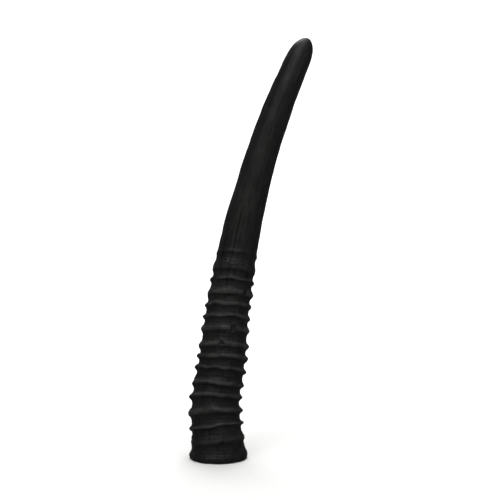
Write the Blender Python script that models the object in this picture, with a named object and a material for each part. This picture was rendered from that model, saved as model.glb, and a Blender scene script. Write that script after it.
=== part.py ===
"""One gemsbok horn, taken off the animal and cut off flat at the base.

It stands on the cut, as it grew: ringed over its lower half, smooth above, and curving gently
over to a blunt rounded tip. The horn is one grown piece, so it is one solid. Metres, +Z up, the
origin is the centre of the cut, and the horn curves over towards +X.
"""

import math

import bmesh
import bpy
from mathutils import Vector

MM = 0.001

# The centreline is a quadratic curve, straight up out of the cut and then over towards +X, and
# just above the cut the horn sways back a little before it leans over.
KNEE_HEIGHT = 310 * MM  # where the line of the base and the line of the tip meet
TIP_HEIGHT = 552 * MM
TIP_REACH = 118 * MM
SWAY = 5 * MM
SWAY_END = 0.24  # share of the centreline that the sway takes up

# Radius of the horn between its rings: share of the centreline, radius.
GIRTH = (
    (0.00, 38.0 * MM),
    (0.05, 33.0 * MM),
    (0.12, 31.2 * MM),
    (0.26, 29.1 * MM),
    (0.38, 26.5 * MM),
    (0.50, 25.3 * MM),
    (0.62, 22.4 * MM),
    (0.74, 20.1 * MM),
    (0.86, 18.2 * MM),
    (1.00, 15.4 * MM),
)
DOME_START = 0.945  # the tip rounds off over the rest of the centreline
OVAL = 0.03  # the section is this much wider across the curve than along it

# Growth rings.
RING_COUNT = 17
RING_ZONE = 0.50  # share of the centreline that carries rings
FADE_START = 0.36  # from here up the rings grow lower and die out
YOUNG_END = 0.10  # below here are the newest rings, which are lower than the rest
YOUNG_RELIEF = 0.4  # share of the full relief that the rings have at the cut
RING_RELIEF = 4.0 * MM  # valley to crest
RING_SHARPNESS = 1.3  # 1 is an even wave; more than 1 narrows the crests and opens the valleys
RING_VARIATION = 0.22  # how much one ring's relief differs from the next
RING_SLANT = 0.12  # share of a ring's pitch by which it climbs on the inside of the curve
RING_RISE = 0.45  # share of a pitch by which it climbs over the front of the horn, at -Y
RING_WAVE = 0.07  # share of a pitch by which it wanders up and down

# Mesh.
AROUND = 28
STEP_ALONG = 0.001  # share of the centreline over which its direction is taken
ROWS_PER_RING = 4
SMOOTH_ROWS = 15
DOME_ROWS = 5
CUT_BEVEL = 1.5 * MM


def centre(share):
    """Point of the centreline at a share of its length."""
    up = 2 * (1 - share) * share * KNEE_HEIGHT + share**2 * TIP_HEIGHT
    swayed = SWAY * math.sin(math.pi * min(share / SWAY_END, 1)) ** 2
    return Vector((share**2 * TIP_REACH - swayed, 0, up))


def outward(share, angle):
    """Unit vector from the centreline to the skin: angle 0 points over the inside of the curve."""
    along = (centre(share + STEP_ALONG) - centre(share - STEP_ALONG)).normalized()
    side = Vector((along.z, 0, -along.x))
    return side * math.cos(angle) + Vector((0, 1, 0)) * math.sin(angle)


def smooth_step(value, low, high):
    """0 below low, 1 above high, and an even blend between them."""
    part = min(max((value - low) / (high - low), 0), 1)
    return part * part * (3 - 2 * part)


def girth(share):
    """Radius between the rings, blended evenly from one station to the next."""
    for (low, low_radius), (high, high_radius) in zip(GIRTH, GIRTH[1:]):
        if share <= high:
            return low_radius + (high_radius - low_radius) * (share - low) / (high - low)
    return GIRTH[-1][1]


def dome(share):
    """Share of the radius that is left where the tip rounds off."""
    part = max(share - DOME_START, 0) / (1 - DOME_START)
    return math.sqrt(max(1 - part * part, 0))


def ring_relief(share):
    """Height of the skin over the valleys, on the row that lies at this share."""
    turns = share / RING_ZONE * RING_COUNT
    ring = math.floor(turns)
    crest = (0.5 - 0.5 * math.cos(2 * math.pi * turns)) ** RING_SHARPNESS
    own = 1 + RING_VARIATION * math.sin(12.9898 * ring)
    faded = 1 - smooth_step(share, FADE_START, RING_ZONE)
    grown = YOUNG_RELIEF + (1 - YOUNG_RELIEF) * smooth_step(share, 0, YOUNG_END)
    return RING_RELIEF * own * crest * faded * grown


def wander(share, angle):
    """How far along the centreline a row strays, so that rings slant and wave."""
    turns = share / RING_ZONE * RING_COUNT
    slant = RING_SLANT * math.cos(angle) - RING_RISE * math.sin(angle)
    wave = RING_WAVE * math.sin(3 * angle + 2.1 * turns)
    pitch = RING_ZONE / RING_COUNT
    held = smooth_step(share, 0, 3 * pitch) * (1 - smooth_step(share, RING_ZONE, 2 * RING_ZONE))
    return pitch * (slant + wave) * held


def skin(share, angle):
    """Point of the horn's surface on the row at this share."""
    moved = share + wander(share, angle)
    radius = girth(moved) * dome(share) * (1 + OVAL * math.sin(angle) ** 2)
    return centre(moved) + outward(moved, angle) * (radius + ring_relief(share))


def row_shares():
    """Where the rows of vertices lie: on valleys, flanks and crests, then evenly to the tip."""
    rows_ringed = RING_COUNT * ROWS_PER_RING
    ringed = [RING_ZONE * k / rows_ringed for k in range(1, rows_ringed + 1)]
    step = (DOME_START - RING_ZONE) / SMOOTH_ROWS
    smooth = [RING_ZONE + step * k for k in range(1, SMOOTH_ROWS + 1)]
    quarter = math.pi / 2
    domed = [
        DOME_START + (1 - DOME_START) * math.sin(quarter * k / DOME_ROWS) for k in range(1, DOME_ROWS)
    ]
    return ringed + smooth + domed


def cut_rows():
    """The two rows at the cut: the flat face's edge, and the skin just above its small bevel."""
    angles = [2 * math.pi * k / AROUND for k in range(AROUND)]
    rim = [skin(0, angle) for angle in angles]
    face = [point * (1 - CUT_BEVEL / point.length) for point in rim]
    above = [point + Vector((0, 0, CUT_BEVEL)) for point in rim]
    return [face, above]


def horn_mesh():
    """The closed skin: the cut face, the rows one above the other, and a point at the tip."""
    mesh = bmesh.new()
    angles = [2 * math.pi * k / AROUND for k in range(AROUND)]
    points = cut_rows() + [[skin(share, angle) for angle in angles] for share in row_shares()]
    rows = [[mesh.verts.new(point) for point in row] for row in points]
    tip = mesh.verts.new(centre(1))
    mesh.faces.new(list(reversed(rows[0])))
    for low, high in zip(rows, rows[1:]):
        for k in range(AROUND):
            after = (k + 1) % AROUND
            mesh.faces.new((low[k], low[after], high[after], high[k]))
    for k in range(AROUND):
        mesh.faces.new((rows[-1][k], rows[-1][(k + 1) % AROUND], tip))
    made = bpy.data.meshes.new("horn")
    mesh.to_mesh(made)
    mesh.free()
    made.shade_smooth()
    made.set_sharp_from_angle(angle=math.radians(50))
    return made


def keratin():
    """Black horn, satin where it is rubbed."""
    material = bpy.data.materials.new("black_keratin")
    material.use_nodes = True
    shader = material.node_tree.nodes["Principled BSDF"]
    shader.inputs["Base Color"].default_value = (0.012, 0.011, 0.010, 1)
    shader.inputs["Roughness"].default_value = 0.45
    shader.inputs["Metallic"].default_value = 0
    return material


def main():
    """Clears the scene and makes the horn."""
    for thing in list(bpy.data.objects):
        bpy.data.objects.remove(thing)
    horn = bpy.data.objects.new("horn", horn_mesh())
    horn.data.materials.append(keratin())
    bpy.context.scene.collection.objects.link(horn)


main()
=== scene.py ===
"""The looks of one gemsbok horn: black keratin, ringed below and smooth above, standing on its cut.

The horn is one skin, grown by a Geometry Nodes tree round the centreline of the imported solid. It
carries what a plain solid can't: uneven and forking growth rings, the fine lines between them, the
grain of the keratin, chipped crests and a worn tip. Metres, +Z up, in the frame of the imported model.
"""

import logging
import math
from collections.abc import Sequence
from dataclasses import dataclass, fields
from enum import Enum
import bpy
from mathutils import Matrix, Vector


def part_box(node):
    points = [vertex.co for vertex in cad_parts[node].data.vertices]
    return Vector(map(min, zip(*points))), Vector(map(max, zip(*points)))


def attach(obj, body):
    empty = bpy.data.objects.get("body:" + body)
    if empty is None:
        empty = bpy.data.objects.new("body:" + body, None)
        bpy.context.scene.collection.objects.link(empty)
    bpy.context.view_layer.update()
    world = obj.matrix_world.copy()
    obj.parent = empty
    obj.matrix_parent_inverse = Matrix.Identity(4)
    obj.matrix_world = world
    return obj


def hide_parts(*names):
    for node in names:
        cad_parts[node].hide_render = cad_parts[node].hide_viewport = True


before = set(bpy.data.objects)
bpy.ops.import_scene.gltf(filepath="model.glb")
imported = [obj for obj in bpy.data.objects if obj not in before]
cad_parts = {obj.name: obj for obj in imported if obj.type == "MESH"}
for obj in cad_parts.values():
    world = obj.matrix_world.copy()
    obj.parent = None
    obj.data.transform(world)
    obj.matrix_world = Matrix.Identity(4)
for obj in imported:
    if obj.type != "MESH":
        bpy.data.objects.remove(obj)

from types import SimpleNamespace

import bmesh
import bpy
from mathutils import Vector

MM = 0.001
NODE = "horn"
BODY = "root"

# A noise node's values mostly lie between these two.
NOISE_LOW = 0.3
NOISE_HIGH = 0.7
CLEAN_SPECULAR = 0.5  # the shader's specular level for a clean surface

# Steps that take each ring to a chance of its own.
RING_NOISE_STEP = 7.31
RING_SINE_STEP = 12.9898

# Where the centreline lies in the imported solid's box.
TIP_REACH_SHARE = 0.949  # of the box's reach in +X: the rounded tip takes the rest
KNEE_SHARE = 0.561  # of its height

log = logging.getLogger("gemsbok_horn")

Points = Sequence[tuple[float, float]]


# ---------------------------------------------------------------- nodes and colours


class Kind(Enum):
    """The kinds of node that the trees are made of: Blender's name for each, and its settings."""

    ATTRIBUTE = "ShaderNodeAttribute", {}
    BUMP = "ShaderNodeBump", {}
    COLOUR_MIX = "ShaderNodeMix", {"data_type": "RGBA"}
    COMBINE = "ShaderNodeCombineXYZ", {}
    CONE = "GeometryNodeMeshCone", {"fill_type": "TRIANGLE_FAN"}
    COORDINATES = "ShaderNodeTexCoord", {}
    COSINE = "ShaderNodeMath", {"operation": "COSINE"}
    CROSS = "ShaderNodeVectorMath", {"operation": "CROSS_PRODUCT"}
    CURVE = "ShaderNodeFloatCurve", {}
    DIVIDE = "ShaderNodeMath", {"operation": "DIVIDE"}
    EASE = "ShaderNodeMapRange", {"interpolation_type": "SMOOTHSTEP"}
    EDGES = "ShaderNodeTexVoronoi", {"feature": "DISTANCE_TO_EDGE"}
    FLOOR = "ShaderNodeMath", {"operation": "FLOOR"}
    FRACTION = "ShaderNodeMath", {"operation": "FRACT"}
    GREATER = "ShaderNodeMath", {"operation": "GREATER_THAN"}
    INPUTS = "NodeGroupInput", {}
    LENGTH = "ShaderNodeVectorMath", {"operation": "LENGTH"}
    LESS_OF = "ShaderNodeMath", {"operation": "MINIMUM"}
    LINE_NOISE = "ShaderNodeTexNoise", {"noise_dimensions": "1D"}
    MINUS = "ShaderNodeMath", {"operation": "SUBTRACT"}
    MIX = "ShaderNodeMix", {"data_type": "FLOAT"}
    MORE_OF = "ShaderNodeMath", {"operation": "MAXIMUM"}
    NOISE = "ShaderNodeTexNoise", {}
    PLUS = "ShaderNodeMath", {"operation": "ADD"}
    POSITION = "GeometryNodeInputPosition", {}
    RANGE = "ShaderNodeMapRange", {}
    REALIZE = "GeometryNodeRealizeInstances", {}
    RESULT = "NodeGroupOutput", {}
    SEPARATE = "ShaderNodeSeparateXYZ", {}
    SET_MATERIAL = "GeometryNodeSetMaterial", {}
    SET_POSITION = "GeometryNodeSetPosition", {}
    SINE = "ShaderNodeMath", {"operation": "SINE"}
    SMOOTH = "GeometryNodeSetShadeSmooth", {}
    SPREAD = "ShaderNodeMapRange", {"clamp": False}
    STORE = "GeometryNodeStoreNamedAttribute", {}
    TIMES = "ShaderNodeMath", {"operation": "MULTIPLY"}
    TIMES_PLUS = "ShaderNodeMath", {"operation": "MULTIPLY_ADD"}
    UNIT = "ShaderNodeVectorMath", {"operation": "NORMALIZE"}
    VECTOR_PLUS = "ShaderNodeVectorMath", {"operation": "ADD"}
    VECTOR_SCALE = "ShaderNodeVectorMath", {"operation": "SCALE"}
    VECTOR_TIMES = "ShaderNodeVectorMath", {"operation": "MULTIPLY"}
    VECTOR_TIMES_PLUS = "ShaderNodeVectorMath", {"operation": "MULTIPLY_ADD"}


class Graph:
    """A node tree under construction."""

    def __init__(self, tree: bpy.types.NodeTree) -> None:
        """Takes the tree that nodes are added to."""
        self.tree = tree

    def add(self, kind: Kind, *inputs: object, **named: object) -> bpy.types.Node:
        """Adds a node with its settings and links.

        Args:
            kind: What kind of node it is.
            *inputs: What goes into its sockets, in their order. A node stands for its first output,
                None leaves a socket as it is, and any other value is set on the socket itself.
            **named: The same by a socket's name, and any further settings of the node.

        Returns:
            The node.
        """
        identifier, settings = kind.value
        node = self.tree.nodes.new(identifier)
        own = {name: value for name, value in named.items() if hasattr(node, name)}
        for name, value in {**settings, **own}.items():
            setattr(node, name, value)
        shown = [socket for socket in node.inputs if socket.enabled]
        by_name = {socket.name: socket for socket in shown}
        pairs = list(zip(shown, inputs))
        pairs += [(by_name[name], value) for name, value in named.items() if name not in own]
        for socket, value in pairs:
            if isinstance(value, bpy.types.Node):
                value = next(output for output in value.outputs if output.enabled)
            if isinstance(value, bpy.types.NodeSocket):
                self.tree.links.new(value, socket)
            elif value is not None:
                socket.default_value = value
        return node


def linear(code: str) -> tuple[float, float, float, float]:
    """Turns an sRGB hex colour into the linear values that a shader works in.

    Args:
        code: The colour, as "#rrggbb".

    Returns:
        Red, green, blue and an alpha of 1.
    """
    channels = [int(code[k : k + 2], 16) / 255 for k in (1, 3, 5)]
    red, green, blue = [c / 12.92 if c <= 0.04045 else ((c + 0.055) / 1.055) ** 2.4 for c in channels]
    return red, green, blue, 1.0


def draw_curve(node: bpy.types.Node, points: Points) -> bpy.types.Node:
    """Gives a Float Curve node its points, with a smooth line through them.

    Args:
        node: The Float Curve node.
        points: Where the curve passes, each from 0 to 1 both ways.

    Returns:
        The node.
    """
    curve = node.mapping.curves[0]
    while len(curve.points) < len(points):
        curve.points.new(0.5, 0.5)
    for point, place in zip(curve.points, points):
        point.location = place
        point.handle_type = "AUTO_CLAMPED"
    node.mapping.update()
    return node


# ---------------------------------------------------------------- finishes


@dataclass(frozen=True)
class BlackKeratin:
    """Black horn keratin, grown in long fibres and rubbed by brush, soil and other horns.

    It gives the eye a near-black satin: greyer and drier on the crests of the rings, darkest in the
    valleys between them and glossier up the bare shaft, with a faint grain running along the horn
    and a few fine drying cracks.
    """

    name: str = "black_keratin"
    deep: str = "#080808"
    body: str = "#161615"
    worn: str = "#292928"
    crack: str = "#030303"
    ior: float = 1.55
    sheen_share: float = 0.30  # of the shine of a clean surface: fine dirt takes the rest
    rough_shaft: float = 0.46
    rough_rings: float = 0.56
    fibre: float = 1.5 * MM  # real fibres are 0.1 mm wide; these are as coarse as they need to show
    fibre_run: float = 60 * MM
    mottle: float = 11 * MM
    pit: float = 2.2 * MM
    crack_gap: float = 16 * MM  # from one drying crack to the next, round the horn
    crack_run: float = 450 * MM
    crack_top: float = 330 * MM  # the shaft above is rubbed smooth
    crack_share: float = 0.035  # half of a crack's width, in shares of the gap
    relief: float = 0.4 * MM  # of the grain, and the next two are shares of it
    pit_depth: float = 0.35
    crack_depth: float = 1.6
    uneven: float = 0.13  # how much rougher or smoother a patch is

    def material(self) -> bpy.types.Material:
        """Makes the material from the horn's "straight", "crest" and "ringed" attributes.

        Returns:
            The material.
        """
        made = bpy.data.materials.new(self.name)
        made.use_nodes = True
        graph = Graph(made.node_tree)
        shader = made.node_tree.nodes["Principled BSDF"]
        shader.inputs["IOR"].default_value = self.ior
        shader.inputs["Specular IOR Level"].default_value = CLEAN_SPECULAR * self.sheen_share
        straight = graph.add(Kind.ATTRIBUTE, attribute_name="straight").outputs["Vector"]
        crest = graph.add(Kind.ATTRIBUTE, attribute_name="crest").outputs["Fac"]
        ringed = graph.add(Kind.ATTRIBUTE, attribute_name="ringed").outputs["Fac"]
        along = (1 / self.fibre, 1 / self.fibre, 1 / self.fibre_run)
        fibres = graph.add(Kind.VECTOR_TIMES, straight, along)
        grain = graph.add(Kind.NOISE, fibres, 1.0, 4.0, 0.6)
        patches = graph.add(Kind.NOISE, straight, 1 / self.mottle, 3.0)
        cracks = self._cracks(graph, straight)

        streak = graph.add(Kind.RANGE, grain, 0.36, 0.66)
        base = graph.add(Kind.COLOUR_MIX, streak, linear(self.deep), linear(self.body))
        patch = graph.add(Kind.RANGE, patches, 0.35, 0.65, 0.25, 1.0)
        rubbed = graph.add(Kind.EASE, crest, 0.35, 1.0)
        wear = graph.add(Kind.TIMES, patch, rubbed)
        dry = graph.add(Kind.COLOUR_MIX, wear, base, linear(self.worn))
        colour = graph.add(Kind.COLOUR_MIX, cracks, dry, linear(self.crack))

        rough = graph.add(Kind.MIX, ringed, self.rough_shaft, self.rough_rings)
        both = graph.add(Kind.PLUS, patches, grain)
        uneven = graph.add(Kind.RANGE, both, 0.75, 1.25, -self.uneven, self.uneven)
        roughness = graph.add(Kind.PLUS, rough, uneven)

        pits = graph.add(Kind.NOISE, straight, 1 / self.pit, 3.0)
        raised = graph.add(Kind.TIMES_PLUS, pits, self.pit_depth, grain)
        height = graph.add(Kind.TIMES_PLUS, cracks, -self.crack_depth, raised)
        bump = graph.add(Kind.BUMP, Distance=self.relief, Height=height)
        made.node_tree.links.new(colour.outputs[2], shader.inputs["Base Color"])
        made.node_tree.links.new(roughness.outputs[0], shader.inputs["Roughness"])
        made.node_tree.links.new(bump.outputs[0], shader.inputs["Normal"])
        return made

    def _cracks(self, graph: Graph, straight: bpy.types.NodeSocket) -> bpy.types.Node:
        """Draws fine cracks along the horn, in a few places only.

        Args:
            graph: The material's tree.
            straight: The coordinates on the straight horn.

        Returns:
            The node that gives 1 in a crack and 0 beside it.
        """
        shake = graph.add(Kind.NOISE, straight, 1 / self.crack_gap, 3.0).outputs["Color"]
        reach = (self.crack_gap / 3,) * 3
        bent = graph.add(Kind.VECTOR_TIMES_PLUS, shake, reach, straight)
        across, run = 1 / self.crack_gap, 1 / self.crack_run
        cells = graph.add(Kind.VECTOR_TIMES, bent, (across, across, run))
        edges = graph.add(Kind.EDGES, cells, 1.0)
        line = graph.add(Kind.EASE, edges, 0.0, self.crack_share, 1.0, 0.0)
        where = graph.add(Kind.NOISE, straight, 1 / (3 * self.crack_gap), 1.0)
        some = graph.add(Kind.EASE, where, 0.50, 0.60)
        up = graph.add(Kind.SEPARATE, straight).outputs["Z"]
        ending = self.crack_top - self.crack_gap
        below = graph.add(Kind.EASE, up, ending, self.crack_top, 1.0, 0.0)
        return graph.add(Kind.TIMES, graph.add(Kind.TIMES, line, some), below)


@dataclass(frozen=True)
class SawnKeratin:
    """The cut through the base, sawn across the fibres and left rough.

    It gives the eye a dull brown-black face with fine parallel saw marks.
    """

    name: str = "sawn_keratin"
    dark: str = "#1e1a17"
    light: str = "#3a332c"
    ior: float = 1.55
    roughness: float = 0.78
    stroke: float = 2.0 * MM  # from one mark of the saw to the next
    mark_run: float = 60 * MM
    relief: float = 0.4 * MM

    def material(self) -> bpy.types.Material:
        """Makes the material from the horn's "straight" attribute.

        Returns:
            The material.
        """
        made = bpy.data.materials.new(self.name)
        made.use_nodes = True
        graph = Graph(made.node_tree)
        shader = made.node_tree.nodes["Principled BSDF"]
        shader.inputs["IOR"].default_value = self.ior
        shader.inputs["Roughness"].default_value = self.roughness
        straight = graph.add(Kind.ATTRIBUTE, attribute_name="straight").outputs["Vector"]
        strokes = graph.add(Kind.VECTOR_TIMES, straight, (1 / self.stroke, 1 / self.mark_run, 0))
        marks = graph.add(Kind.NOISE, strokes, 1.0, 3.0)
        shade = graph.add(Kind.RANGE, marks, NOISE_LOW, NOISE_HIGH)
        colour = graph.add(Kind.COLOUR_MIX, shade, linear(self.dark), linear(self.light))
        bump = graph.add(Kind.BUMP, Distance=self.relief, Height=marks)
        made.node_tree.links.new(colour.outputs[2], shader.inputs["Base Color"])
        made.node_tree.links.new(bump.outputs[0], shader.inputs["Normal"])
        return made


@dataclass(frozen=True)
class WhiteCard:
    """Matte white card that glows with painted light where it rises as a wall: an emission, with no
    lamp behind it.

    It gives the eye a plain pale ground with a soft shadow, and a wall that nowhere goes grey.
    """

    name: str = "matte_white_card"
    colour: str = "#cececd"
    roughness: float = 0.9
    specular: float = 0.1
    # painted light: the wall's own glow, an emission that stands in for lamplight
    glow: float = 0.6
    glow_height: float = 600 * MM  # the floor doesn't glow, and the wall glows fully from here up

    def material(self) -> bpy.types.Material:
        """Makes the material.

        Returns:
            The material.
        """
        made = bpy.data.materials.new(self.name)
        made.use_nodes = True
        graph = Graph(made.node_tree)
        shader = made.node_tree.nodes["Principled BSDF"]
        shader.inputs["Base Color"].default_value = linear(self.colour)
        shader.inputs["Roughness"].default_value = self.roughness
        shader.inputs["Specular IOR Level"].default_value = self.specular
        shader.inputs["Emission Color"].default_value = linear("#ffffff")
        here = graph.add(Kind.COORDINATES).outputs["Object"]
        up = graph.add(Kind.SEPARATE, here).outputs["Z"]
        # painted light: emission that grows from nothing on the floor to full strength up the wall
        glow = graph.add(Kind.EASE, up, 0.0, self.glow_height, 0.0, self.glow)
        made.node_tree.links.new(glow.outputs[0], shader.inputs["Emission Strength"])
        return made


# ---------------------------------------------------------------- the horn


@dataclass
class HornSizes:
    """The horn's sizes, each a named input of the tree that grows the skin.

    Lengths are in metres. A share is a share of the centreline, 0 at the cut and 1 at the tip.
    """

    tip_height: float
    tip_reach: float
    half_width: float
    knee_height: float  # where the line of the base and the line of the tip meet
    sway: float = 5 * MM  # how far the horn sways back just above the cut
    sway_end: float = 0.24
    dome_start: float = 0.945  # the tip rounds off over the rest
    oval: float = 0.03
    cut_bevel: float = 1.5 * MM
    ring_count: float = 17
    ring_zone: float = 0.50
    fade_start: float = 0.36
    ring_relief: float = 4.2 * MM
    ring_slant: float = 0.12  # in shares of a ring's pitch, as the next two are
    ring_rise: float = 0.45
    ring_wander: float = 0.09
    line_relief: float = 0.22 * MM  # the fine growth lines between the rings
    lump_relief: float = 0.55 * MM
    flute_relief: float = 0.6 * MM  # the long shallow hollows up the shaft
    grain_relief: float = 0.15 * MM
    chip_depth: float = 0.9 * MM

    @classmethod
    def from_frame(cls) -> "HornSizes":
        """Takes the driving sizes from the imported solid's box.

        Returns:
            The sizes.
        """
        _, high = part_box(NODE)
        return cls(
            tip_height=high.z,
            tip_reach=TIP_REACH_SHARE * high.x,
            half_width=high.y,
            knee_height=KNEE_SHARE * high.z,
        )


@dataclass(frozen=True)
class Pattern:
    """An uneven pattern: the size of its patches round and along the horn, and its octaves."""

    across: float
    along: float
    detail: float


@dataclass
class Horn:
    """The horn: a cone of rows from the cut to the tip, shaped straight and then bent."""

    sizes: HornSizes
    keratin: BlackKeratin
    sawn: SawnKeratin
    around: int = 140
    rows: int = 630
    face_rings: int = 12
    # Radius between the rings in shares of the half width, by share of the centreline.
    girth: Points = (
        (0.00, 0.963),
        (0.05, 0.837),
        (0.12, 0.791),
        (0.26, 0.738),
        (0.38, 0.672),
        (0.50, 0.641),
        (0.62, 0.568),
        (0.74, 0.510),
        (0.86, 0.461),
        (1.00, 0.390),
    )
    # One ring from valley to valley: a rounded crest between broad valleys.
    profile: Points = (
        (0.00, 0.00),
        (0.14, 0.08),
        (0.30, 0.50),
        (0.41, 0.90),
        (0.50, 1.00),
        (0.60, 0.84),
        (0.72, 0.42),
        (0.86, 0.07),
        (1.00, 0.00),
    )
    ring_nudge: float = 0.22  # how far a ring lies from its even place, in shares of a pitch
    ring_variation: float = 0.18  # how much one ring's height differs from the next
    fork_height: float = 0.62  # of the two ridges of a forked ring, where a single one has 1
    young_end: float = 0.09  # the newest rings, below this share, are lower
    young_relief: float = 0.4
    drift_size: float = 1.15  # how quickly a ring's wander changes on the way round
    drift_climb: float = 0.4  # and from one ring to the next
    rub_start: float = 0.90  # from here the tip is rubbed ever smoother
    lines_per_ring: int = 6
    line_shake: float = 2.4  # how far the growth lines stray, in radians of their own wave
    lumps: Pattern = Pattern(26 * MM, 40 * MM, 2.0)
    flutes: Pattern = Pattern(17 * MM, 340 * MM, 1.0)
    grain: Pattern = Pattern(3.2 * MM, 60 * MM, 3.0)
    bits: Pattern = Pattern(6 * MM, 5 * MM, 2.0)

    def build(self) -> bpy.types.Object:
        """Grows the skin as a plain mesh and hands it to the frame.

        Returns:
            The finished piece.
        """
        tree = self._tree()
        seed = bpy.data.objects.new("horn_seed", bpy.data.meshes.new("horn_seed"))
        bpy.context.scene.collection.objects.link(seed)
        modifier = seed.modifiers.new("skin", "NODES")
        modifier.node_group = tree
        entries = (item for item in tree.interface.items_tree if item.in_out == "INPUT")
        for item in entries:
            modifier[item.identifier] = float(getattr(self.sizes, item.name))
        depsgraph = bpy.context.evaluated_depsgraph_get()
        grown = seed.evaluated_get(depsgraph)
        mesh = bpy.data.meshes.new_from_object(grown, depsgraph=depsgraph)
        bpy.data.objects.remove(seed)
        mesh.name = "horn_skin"
        piece = bpy.data.objects.new("horn_skin", mesh)
        bpy.context.scene.collection.objects.link(piece)
        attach(piece, BODY)
        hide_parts(NODE)
        return piece

    def _tree(self) -> bpy.types.NodeTree:
        """Builds the tree: a cone's rows, their place on the horn, and the two finishes.

        Returns:
            The tree, with the horn's sizes as its inputs.
        """
        tree = bpy.data.node_groups.new("horn_skin", "GeometryNodeTree")
        for entry in fields(self.sizes):
            tree.interface.new_socket(entry.name, in_out="INPUT", socket_type="NodeSocketFloat")
        tree.interface.new_socket("skin", in_out="OUTPUT", socket_type="NodeSocketGeometry")
        graph = Graph(tree)
        inputs = graph.add(Kind.INPUTS).outputs
        size = SimpleNamespace(**{entry.name: inputs[entry.name] for entry in fields(self.sizes)})
        cone = graph.add(Kind.CONE, self.around, self.rows, self.face_rings, 0.0, 1.0, 1.0)
        row = self._row(graph, size)
        ring = self._ring(graph, size, row)
        straight, radius = self._radius(graph, size, row, ring)
        place = self._bend(graph, size, row, ring.moved, radius)
        stored = graph.add(Kind.STORE, cone, None, "straight", straight, data_type="FLOAT_VECTOR")
        for name, value in (("crest", ring.crest), ("ringed", ring.strong)):
            stored = graph.add(Kind.STORE, stored, None, name, value)
        placed = graph.add(Kind.SET_POSITION, stored, None, place)
        flat = graph.add(Kind.SMOOTH, placed, cone.outputs["Bottom"], False)
        whole = graph.add(Kind.REALIZE, flat)
        black = graph.add(Kind.SET_MATERIAL, whole, None, self.keratin.material())
        cut = graph.add(Kind.SET_MATERIAL, black, cone.outputs["Bottom"], self.sawn.material())
        graph.add(Kind.RESULT, cut)
        return tree

    def _row(self, graph: Graph, size: SimpleNamespace) -> SimpleNamespace:
        """Reads where a vertex lies on the cone.

        Args:
            graph: The horn's tree.
            size: The horn's sizes.

        Returns:
            share: Its share of the centreline.
            dome: The share of the radius that the rounding of the tip leaves.
            side: 1 on the skin, and down to 0 at the middle of the cut.
            around: The unit vector from the axis, with its parts in cos and sin.
        """
        here = graph.add(Kind.SEPARATE, graph.add(Kind.POSITION)).outputs
        level = graph.add(Kind.COMBINE, here["X"], here["Y"], 0.0)
        around = graph.add(Kind.UNIT, level)
        parts = graph.add(Kind.SEPARATE, around).outputs
        above = graph.add(Kind.GREATER, here["Z"], 1e-5)
        side = graph.add(Kind.MORE_OF, above, graph.add(Kind.LENGTH, level))
        turned = graph.add(Kind.RANGE, here["Z"], size.dome_start, 1.0, 0.0, math.pi / 2)
        shaft = graph.add(Kind.LESS_OF, here["Z"], size.dome_start)
        rest = graph.add(Kind.MINUS, 1.0, size.dome_start)
        share = graph.add(Kind.TIMES_PLUS, graph.add(Kind.SINE, turned), rest, shaft)
        dome = graph.add(Kind.COSINE, turned)
        return SimpleNamespace(
            share=share, dome=dome, side=side, around=around, cos=parts["X"], sin=parts["Y"]
        )

    def _ring(self, graph: Graph, size: SimpleNamespace, row: SimpleNamespace) -> SimpleNamespace:
        """Works out the growth rings.

        Args:
            graph: The horn's tree.
            size: The horn's sizes.
            row: Where the vertex lies on the cone.

        Returns:
            moved: The share once a ring's slant and wander have carried the vertex along the horn.
            turns: How many rings lie below.
            crest: 0 in a valley and 1 on a full crest.
            strong: How much of their height the rings have here.
            height: The height over the valleys, in metres.
        """
        rate = graph.add(Kind.DIVIDE, size.ring_count, size.ring_zone)
        even = graph.add(Kind.TIMES, row.share, rate)
        chance = graph.add(Kind.LINE_NOISE, even, 0.55, 1.0)
        spread = (-self.ring_nudge, self.ring_nudge)
        nudge = graph.add(Kind.RANGE, chance, NOISE_LOW, NOISE_HIGH, *spread)
        turns = graph.add(Kind.PLUS, even, nudge)
        moved = self._wander(graph, size, row, rate, even)

        number = graph.add(Kind.FLOOR, turns)
        part = graph.add(Kind.FRACTION, turns)
        single = draw_curve(graph.add(Kind.CURVE, 1.0, part), self.profile)
        halves = graph.add(Kind.FRACTION, graph.add(Kind.TIMES, part, 2.0))
        double = draw_curve(graph.add(Kind.CURVE, 1.0, halves), self.profile)
        lower = graph.add(Kind.TIMES, double, self.fork_height)
        own_place = graph.add(Kind.COMBINE, 0.0, 0.0, graph.add(Kind.TIMES, number, RING_NOISE_STEP))
        own = graph.add(Kind.NOISE, graph.add(Kind.VECTOR_PLUS, row.around, own_place), 1.0, 1.0)
        forked = graph.add(Kind.EASE, own, 0.64, 0.72)
        ridge = graph.add(Kind.MIX, forked, single, lower)

        faded = graph.add(Kind.EASE, row.share, size.fade_start, size.ring_zone, 1.0, 0.0)
        young = graph.add(Kind.EASE, row.share, 0.0, self.young_end, self.young_relief, 1.0)
        strong = graph.add(Kind.TIMES, faded, young)
        crest = graph.add(Kind.TIMES, ridge, strong)
        odd = graph.add(Kind.SINE, graph.add(Kind.TIMES, number, RING_SINE_STEP))
        whole_ring = graph.add(Kind.TIMES_PLUS, odd, self.ring_variation, 1.0)
        partly = graph.add(Kind.RANGE, own, NOISE_LOW, NOISE_HIGH, 1.2, 0.7)
        stretch = graph.add(Kind.TIMES, whole_ring, partly)
        tall = graph.add(Kind.TIMES, stretch, size.ring_relief)
        height = graph.add(Kind.TIMES, crest, tall)
        return SimpleNamespace(moved=moved, turns=turns, crest=crest, strong=strong, height=height)

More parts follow.
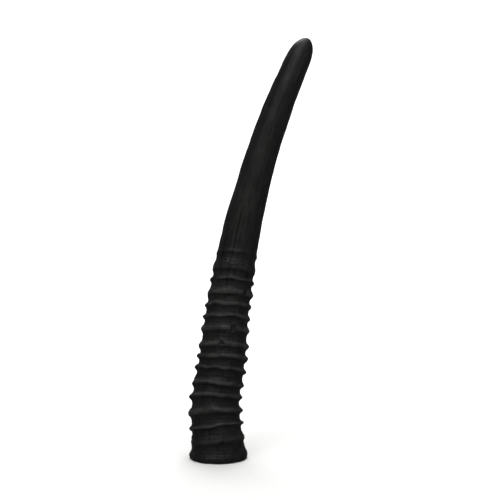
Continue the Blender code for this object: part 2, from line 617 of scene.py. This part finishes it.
    def _wander(
        self,
        graph: Graph,
        size: SimpleNamespace,
        row: SimpleNamespace,
        rate: bpy.types.Node,
        even: bpy.types.Node,
    ) -> bpy.types.Node:
        """Carries rows along the horn, so that rings climb over the inside and the front, and wave.

        Args:
            graph: The horn's tree.
            size: The horn's sizes.
            row: Where the vertex lies on the cone.
            rate: Rings in a whole centreline.
            even: Rings below, if all were alike.

        Returns:
            The node that gives the share that the vertex moves to.
        """
        inside = graph.add(Kind.TIMES, row.cos, size.ring_slant)
        climb = graph.add(Kind.COMBINE, 0.0, 0.0, graph.add(Kind.TIMES, even, self.drift_climb))
        cylinder = graph.add(Kind.VECTOR_PLUS, row.around, climb)
        drift = graph.add(Kind.NOISE, cylinder, self.drift_size, 2.0)
        centred = graph.add(Kind.SPREAD, drift, NOISE_LOW, NOISE_HIGH, -1.0, 1.0)
        waved = graph.add(Kind.TIMES_PLUS, centred, size.ring_wander, inside)
        stray = graph.add(Kind.MINUS, waved, graph.add(Kind.TIMES, row.sin, size.ring_rise))
        pitch = graph.add(Kind.DIVIDE, 1.0, rate)
        three_rings = graph.add(Kind.TIMES, pitch, 3.0)
        held = graph.add(Kind.EASE, row.share, 0.0, three_rings)
        beyond = graph.add(Kind.TIMES, size.ring_zone, 2.0)
        freed = graph.add(Kind.EASE, row.share, size.ring_zone, beyond, 1.0, 0.0)
        reach = graph.add(Kind.TIMES, pitch, graph.add(Kind.TIMES, held, freed))
        return graph.add(Kind.TIMES_PLUS, stray, reach, row.share)

    def _radius(
        self, graph: Graph, size: SimpleNamespace, row: SimpleNamespace, ring: SimpleNamespace
    ) -> tuple[bpy.types.Node, bpy.types.Node]:
        """Adds up the radius of the skin: the girth, the rings and the small relief.

        Args:
            graph: The horn's tree.
            size: The horn's sizes.
            row: Where the vertex lies on the cone.
            ring: The growth rings there.

        Returns:
            The vertex's place on a straight horn without relief, and its radius with relief.
        """
        girth = draw_curve(graph.add(Kind.CURVE, 1.0, ring.moved), self.girth)
        broad = graph.add(Kind.TIMES, girth, size.half_width)
        squared = graph.add(Kind.TIMES, row.sin, row.sin)
        oval = graph.add(Kind.TIMES_PLUS, squared, size.oval, 1.0)
        smooth = graph.add(Kind.TIMES, graph.add(Kind.TIMES, broad, oval), row.dome)
        out = graph.add(Kind.VECTOR_SCALE, row.around, graph.add(Kind.TIMES, smooth, row.side))
        up = graph.add(Kind.COMBINE, 0.0, 0.0, graph.add(Kind.TIMES, ring.moved, size.tip_height))
        straight = graph.add(Kind.VECTOR_PLUS, out, up)

        relief = ring.height
        for pattern, depth in self._small_relief(graph, size, row, ring, straight):
            relief = graph.add(Kind.TIMES_PLUS, pattern, depth, relief)
        rubbed = graph.add(Kind.RANGE, row.share, self.rub_start, 1.0, 1.0, 0.0)
        kept = graph.add(Kind.TIMES, relief, rubbed)
        rise = graph.add(Kind.TIMES, row.share, graph.add(Kind.TIMES, size.knee_height, 2.0))
        to_edge = graph.add(Kind.RANGE, rise, 0.0, size.cut_bevel, 1.0, 0.0)
        inset = graph.add(Kind.TIMES, graph.add(Kind.TIMES, to_edge, to_edge), size.cut_bevel)
        skin = graph.add(Kind.MINUS, graph.add(Kind.PLUS, smooth, kept), inset)
        return straight, graph.add(Kind.TIMES, skin, row.side)

    def _small_relief(
        self,
        graph: Graph,
        size: SimpleNamespace,
        row: SimpleNamespace,
        ring: SimpleNamespace,
        straight: bpy.types.Node,
    ) -> list[tuple[bpy.types.Node, bpy.types.NodeSocket]]:
        """Works out what is smaller than a ring.

        Args:
            graph: The horn's tree.
            size: The horn's sizes.
            row: Where the vertex lies on the cone.
            ring: The growth rings there.
            straight: The vertex's place on a straight horn without relief.

        Returns:
            Each pattern, about 0 and mostly within 1 either way, with its depth in metres.
        """
        uneven = SimpleNamespace()
        for name in ("lumps", "flutes", "grain", "bits"):
            pattern = getattr(self, name)
            scale = (1 / pattern.across, 1 / pattern.across, 1 / pattern.along)
            scaled = graph.add(Kind.VECTOR_TIMES, straight, scale)
            noise = graph.add(Kind.NOISE, scaled, 1.0, pattern.detail)
            spread = graph.add(Kind.SPREAD, noise, NOISE_LOW, NOISE_HIGH, -1.0, 1.0)
            setattr(uneven, name, spread)
        phase = graph.add(Kind.TIMES, ring.turns, 2 * math.pi * self.lines_per_ring)
        lines = graph.add(Kind.SINE, graph.add(Kind.TIMES_PLUS, uneven.lumps, self.line_shake, phase))
        strength = graph.add(Kind.RANGE, uneven.bits, -1.0, 1.0, 0.2, 1.4)
        drawn = graph.add(Kind.TIMES, lines, strength)
        line_fade = graph.add(Kind.EASE, row.share, 0.38, 0.54, 1.0, 0.0)
        chipped = graph.add(Kind.EASE, uneven.bits, 0.25, 0.8, 0.0, -1.0)
        bare = graph.add(Kind.MINUS, 1.0, ring.strong)
        return [
            (graph.add(Kind.TIMES, drawn, line_fade), size.line_relief),
            (uneven.lumps, size.lump_relief),
            (graph.add(Kind.TIMES, uneven.flutes, bare), size.flute_relief),
            (uneven.grain, size.grain_relief),
            (graph.add(Kind.TIMES, chipped, ring.crest), size.chip_depth),
        ]

    def _bend(
        self,
        graph: Graph,
        size: SimpleNamespace,
        row: SimpleNamespace,
        moved: bpy.types.Node,
        radius: bpy.types.Node,
    ) -> bpy.types.Node:
        """Lays the straight horn along its curved centreline.

        Args:
            graph: The horn's tree.
            size: The horn's sizes.
            row: Where the vertex lies on the cone.
            moved: The share that the vertex has moved to.
            radius: Its distance from the centreline.

        Returns:
            The node that gives its place.
        """
        twice_knee = graph.add(Kind.TIMES, size.knee_height, 2.0)
        above_knee = graph.add(Kind.MINUS, size.tip_height, twice_knee)
        bow = graph.add(Kind.COMBINE, size.tip_reach, 0.0, above_knee)
        rise = graph.add(Kind.COMBINE, 0.0, 0.0, twice_knee)
        part = graph.add(Kind.LESS_OF, graph.add(Kind.DIVIDE, moved, size.sway_end), 1.0)
        swing = graph.add(Kind.SINE, graph.add(Kind.TIMES, part, math.pi))
        back = graph.add(Kind.TIMES, graph.add(Kind.TIMES, swing, swing), size.sway)
        swayed = graph.add(Kind.COMBINE, graph.add(Kind.TIMES, back, -1.0), 0.0, 0.0)
        squared = graph.add(Kind.TIMES, moved, moved)
        climbed = graph.add(Kind.VECTOR_SCALE, rise, moved)
        bowed = graph.add(Kind.VECTOR_SCALE, bow, squared)
        centre = graph.add(Kind.VECTOR_PLUS, graph.add(Kind.VECTOR_PLUS, climbed, bowed), swayed)

        turned = graph.add(Kind.SINE, graph.add(Kind.TIMES, part, 2 * math.pi))
        rate = graph.add(Kind.TIMES, graph.add(Kind.DIVIDE, size.sway, size.sway_end), -math.pi)
        swaying = graph.add(Kind.COMBINE, graph.add(Kind.TIMES, turned, rate), 0.0, 0.0)
        steeper = graph.add(Kind.VECTOR_SCALE, bow, graph.add(Kind.TIMES, moved, 2.0))
        along = graph.add(Kind.VECTOR_PLUS, graph.add(Kind.VECTOR_PLUS, rise, steeper), swaying)
        inside = graph.add(Kind.UNIT, graph.add(Kind.CROSS, (0.0, 1.0, 0.0), along))
        to_inside = graph.add(Kind.VECTOR_SCALE, inside, graph.add(Kind.TIMES, radius, row.cos))
        to_back = graph.add(Kind.COMBINE, 0.0, graph.add(Kind.TIMES, radius, row.sin), 0.0)
        return graph.add(Kind.VECTOR_PLUS, centre, graph.add(Kind.VECTOR_PLUS, to_inside, to_back))


# ---------------------------------------------------------------- the studio


@dataclass(frozen=True)
class Softbox:
    """A square soft light, which looks at the horn unless it is told to face another way.

    Angles are in degrees as the camera's are, and the size and distance are in metres.
    """

    name: str
    azimuth: float
    elevation: float
    distance: float
    size: float
    power: float
    faces: tuple[float, float] | None = None  # azimuth and elevation that it looks towards


@dataclass
class Studio:
    """A white bowl to stand the horn in, softboxes, and the camera."""

    low: Vector
    high: Vector
    card: WhiteCard
    floor_radius: float = 0.8
    bend_radius: float = 2.6
    azimuth: float = 0.0
    elevation: float = 3.0
    lens: float = 85.0
    fill: float = 0.84  # share of the picture's height that the horn takes
    air: float = 0.12  # strength of the even light from all sides
    softboxes: tuple[Softbox, ...] = (
        Softbox("key", -16, 42, 1.9, 1.2, 20),
        Softbox("fill", 46, 12, 2.2, 1.2, 5),
        Softbox("top", 10, 82, 2.2, 1.6, 34),
        Softbox("back", 184, 58, 2.0, 1.2, 30),
        Softbox("backdrop", 180, 70, 1.5, 1.2, 40, faces=(180, -12)),
    )

    @property
    def middle(self) -> Vector:
        """The middle of the horn's box."""
        return (self.low + self.high) / 2

    def away(self, azimuth: float, elevation: float) -> Vector:
        """Unit vector from the horn to a camera or light.

        Args:
            azimuth: 0 is in front, at -Y, and 90 on the right, at +X.
            elevation: Degrees above the horizon.

        Returns:
            The vector.
        """
        turn, climb = math.radians(azimuth), math.radians(elevation)
        level = math.cos(climb)
        return Vector((math.sin(turn) * level, -math.cos(turn) * level, math.sin(climb)))

    def place(
        self, data: bpy.types.ID, name: str, azimuth: float, elevation: float, distance: float
    ) -> bpy.types.Object:
        """Puts a light or camera round the horn, looking at its middle.

        Args:
            data: The light's or camera's data.
            name: The new object's name.
            azimuth: Degrees round the horn.
            elevation: Degrees above the horizon.
            distance: Metres from the horn's middle.

        Returns:
            The new object.
        """
        made = bpy.data.objects.new(name, data)
        away = self.away(azimuth, elevation)
        made.location = self.middle + away * distance
        made.rotation_euler = (-away).to_track_quat("-Z", "Y").to_euler()
        bpy.context.scene.collection.objects.link(made)
        return made

    def ground(self) -> bpy.types.Object:
        """Turns the bowl: a level floor that curves up into a low round wall.

        Returns:
            The bowl.
        """
        steps_up = 16
        steps_round = 96
        profile = [(0.0, 0.0)]
        for k in range(steps_up + 1):
            turned = math.pi / 2 * k / steps_up
            out = self.floor_radius + self.bend_radius * math.sin(turned)
            profile.append((out, self.bend_radius * (1 - math.cos(turned))))
        mesh = bmesh.new()
        line = [mesh.verts.new((x, 0, z)) for x, z in profile]
        edges = [mesh.edges.new(pair) for pair in zip(line, line[1:])]
        whole_turn = {"cent": (0, 0, 0), "axis": (0, 0, 1), "angle": 2 * math.pi}
        bmesh.ops.spin(mesh, geom=line + edges, steps=steps_round, **whole_turn)
        bmesh.ops.remove_doubles(mesh, verts=mesh.verts, dist=1e-5)
        bmesh.ops.recalc_face_normals(mesh, faces=mesh.faces)
        made = bpy.data.meshes.new("studio_bowl")
        mesh.to_mesh(made)
        mesh.free()
        made.shade_smooth()
        made.materials.append(self.card.material())
        bowl = bpy.data.objects.new("studio_bowl", made)
        bpy.context.scene.collection.objects.link(bowl)
        bowl.visible_glossy = False
        return bowl

    def lights(self) -> list[bpy.types.Object]:
        """Sets up the softboxes and a faint even light from all sides.

        Returns:
            The softboxes' lamps.
        """
        made = []
        for box in self.softboxes:
            light = bpy.data.lights.new(box.name, "AREA")
            light.shape = "SQUARE"
            light.size = box.size
            light.energy = box.power
            lamp = self.place(light, box.name, box.azimuth, box.elevation, box.distance)
            if box.faces:
                lamp.rotation_euler = self.away(*box.faces).to_track_quat("-Z", "Y").to_euler()
            lamp.visible_camera = False
            made.append(lamp)
        world = bpy.data.worlds.new("studio_air")
        world.use_nodes = True
        background = world.node_tree.nodes["Background"]
        background.inputs["Color"].default_value = linear("#f4f4f4")
        background.inputs["Strength"].default_value = self.air
        bpy.context.scene.world = world
        return made

    def camera(self) -> bpy.types.Object:
        """Sets up the camera so that the horn fills its share of the picture.

        Returns:
            The camera.
        """
        data = bpy.data.cameras.new("camera")
        data.lens = self.lens
        height = (self.high.z - self.low.z) / self.fill
        distance = height / data.sensor_width * self.lens
        made = self.place(data, "camera", self.azimuth, self.elevation, distance)
        bpy.context.scene.camera = made
        return made


def main() -> None:
    """Builds the horn and the studio round it, and reports each piece."""
    logging.basicConfig(level=logging.INFO, format="%(name)s: %(message)s")
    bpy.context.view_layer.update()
    horn = Horn(HornSizes.from_frame(), BlackKeratin(), SawnKeratin())
    piece = horn.build()
    log.info("%s: %d faces", piece.name, len(piece.data.polygons))
    low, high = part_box(NODE)
    studio = Studio(low, high, WhiteCard())
    bowl = studio.ground()
    lamps = studio.lights()
    camera = studio.camera()
    log.info("%s, %d softboxes, %s", bowl.name, len(lamps), camera.name)
    bpy.context.scene.view_settings.view_transform = "Standard"


if __name__ == "__main__":
    main()
